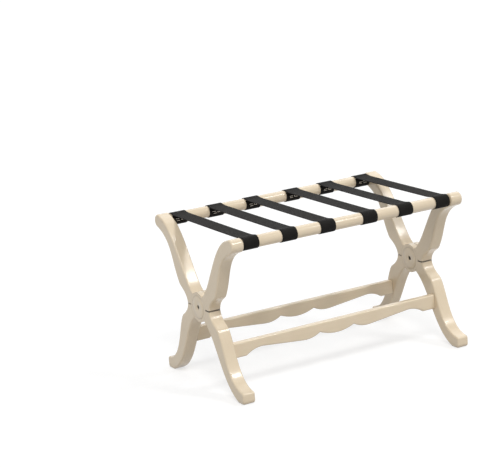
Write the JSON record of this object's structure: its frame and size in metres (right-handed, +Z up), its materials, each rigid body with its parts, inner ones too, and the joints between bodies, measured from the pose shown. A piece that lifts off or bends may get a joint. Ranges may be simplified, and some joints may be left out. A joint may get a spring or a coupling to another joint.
{
  "type": "luggage bench",
  "caption": "Low folding luggage bench with crossed sabre-leg frames of painted wood, rosettes over the pivots, round rails, scalloped stretchers and black webbing straps.",
  "frame": {"origin": "on the floor, under the middle of the open bench", "axes": "+X along the rails to the right, +Y towards the back, +Z up"},
  "size_m": [0.7608, 0.4628, 0.4642],
  "materials": {
    "ivory_paint": "satin antique-white paint on hardwood",
    "webbing": "black ribbed nylon webbing",
    "dowel_wood": "bare beech dowel",
    "pivot_steel": "dark plated steel",
    "washer_nylon": "plain nylon"
  },
  "bodies": {
    "back_rail_frame": {"left_front_leg": "ivory_paint", "right_front_leg": "ivory_paint", "back_rail": "ivory_paint", "front_stretcher": "ivory_paint", "front_left_lower_dowel": "dowel_wood", "front_left_upper_dowel": "dowel_wood", "front_right_lower_dowel": "dowel_wood", "front_right_upper_dowel": "dowel_wood", "left_pivot_sleeve_nut": "pivot_steel", "left_pivot_screw": "pivot_steel", "left_lap_washer": "washer_nylon", "left_rosette_sleeve_side": "ivory_paint", "right_pivot_sleeve_nut": "pivot_steel", "right_pivot_screw": "pivot_steel", "right_lap_washer": "washer_nylon", "right_rosette_sleeve_side": "ivory_paint", "strap_1": "webbing", "strap_2": "webbing", "strap_3": "webbing", "strap_4": "webbing", "strap_5": "webbing", "strap_6": "webbing"},
    "front_rail_frame": {"left_back_leg": "ivory_paint", "right_back_leg": "ivory_paint", "front_rail": "ivory_paint", "back_stretcher": "ivory_paint", "back_left_lower_dowel": "dowel_wood", "back_left_upper_dowel": "dowel_wood", "back_right_lower_dowel": "dowel_wood", "back_right_upper_dowel": "dowel_wood", "left_rosette_screw_side": "ivory_paint", "right_rosette_screw_side": "ivory_paint"}
  },
  "joints": [
    {"name": "fold", "type": "hinge", "parent": "back_rail_frame", "child": "front_rail_frame", "pos_m": [0, 0, 0.232], "axis": [-1, 0, 0], "range_deg": [0, 70], "deforming": ["strap_1", "strap_2", "strap_3", "strap_4", "strap_5", "strap_6"]}
  ]
}
